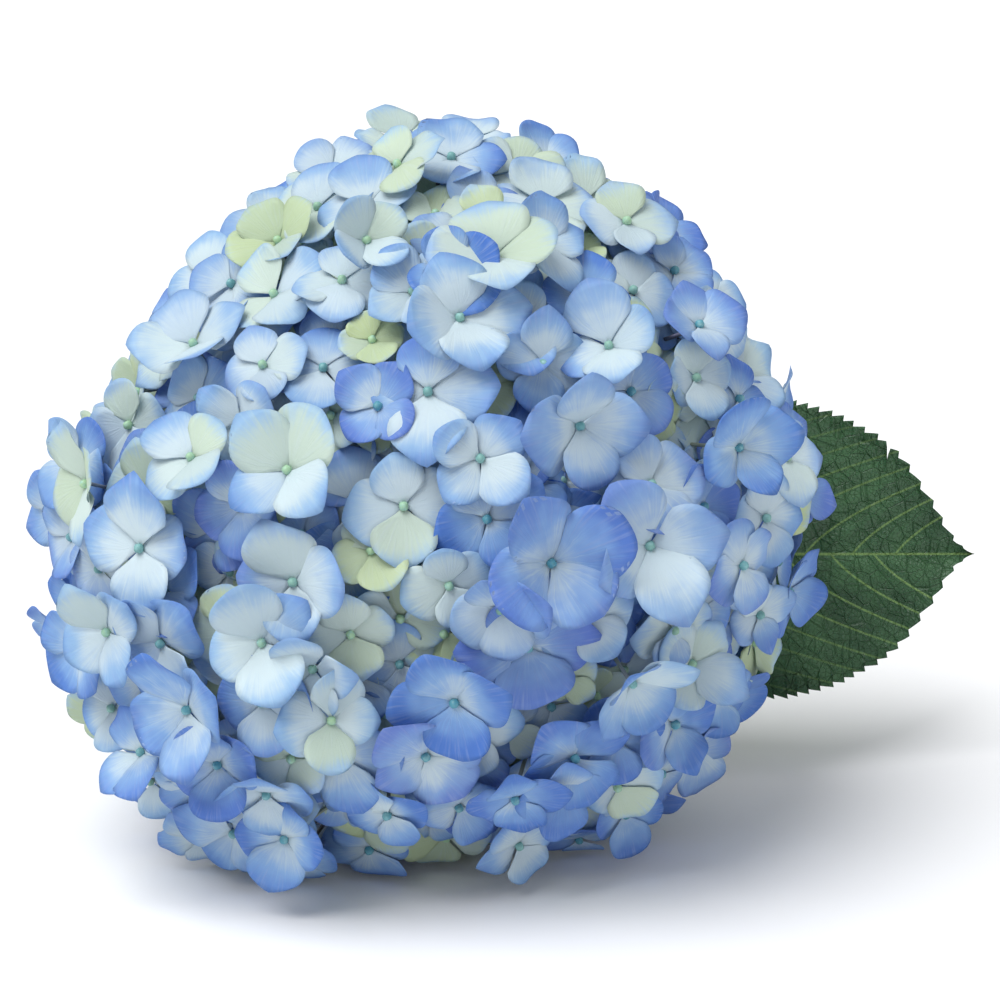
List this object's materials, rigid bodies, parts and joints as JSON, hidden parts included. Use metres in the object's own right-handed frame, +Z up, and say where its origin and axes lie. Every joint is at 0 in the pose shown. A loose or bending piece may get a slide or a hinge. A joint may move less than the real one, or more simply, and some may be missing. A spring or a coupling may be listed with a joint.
{
  "type": "cut hydrangea",
  "caption": "Cut mophead hydrangea lying down: a domed head of pale blue four-sepalled florets on a branching green stem, with a broad toothed leaf.",
  "frame": {"origin": "on the surface that the flower lies on, straight under the middle of the head", "axes": "+Z up from the surface; -Y the way the flower head faces; +X to the leaf's side"},
  "size_m": [0.2479, 0.35, 0.1878],
  "materials": {
    "sepals": "matt",
    "stem": "matt",
    "leaf": "slightly glossy"
  },
  "bodies": {
    "root": {"floret_cluster_01": "sepals", "floret_cluster_02": "sepals", "floret_cluster_03": "sepals", "floret_cluster_04": "sepals", "floret_cluster_05": "sepals", "floret_cluster_06": "sepals", "floret_cluster_07": "sepals", "floret_cluster_08": "sepals", "floret_cluster_09": "sepals", "floret_cluster_10": "sepals", "floret_cluster_11": "sepals", "floret_cluster_12": "sepals", "floret_cluster_13": "sepals", "floret_cluster_14": "sepals", "floret_cluster_15": "sepals", "floret_cluster_16": "sepals", "floret_cluster_17": "sepals", "floret_cluster_18": "sepals", "floret_cluster_19": "sepals", "floret_cluster_20": "sepals", "floret_cluster_21": "sepals", "floret_cluster_22": "sepals", "floret_cluster_23": "sepals", "floret_cluster_24": "sepals", "floret_cluster_25": "sepals", "floret_cluster_26": "sepals", "floret_cluster_27": "sepals", "floret_cluster_28": "sepals", "floret_cluster_29": "sepals", "floret_cluster_30": "sepals", "floret_cluster_31": "sepals", "floret_cluster_32": "sepals", "floret_cluster_33": "sepals", "floret_cluster_34": "sepals", "floret_cluster_35": "sepals", "floret_cluster_36": "sepals", "floret_cluster_37": "sepals", "floret_cluster_38": "sepals", "floret_cluster_39": "sepals", "floret_cluster_40": "sepals", "floret_cluster_41": "sepals", "floret_cluster_42": "sepals", "floret_cluster_43": "sepals", "floret_cluster_44": "sepals", "leaf": "leaf", "stem": "stem"}
  },
  "joints": []
}
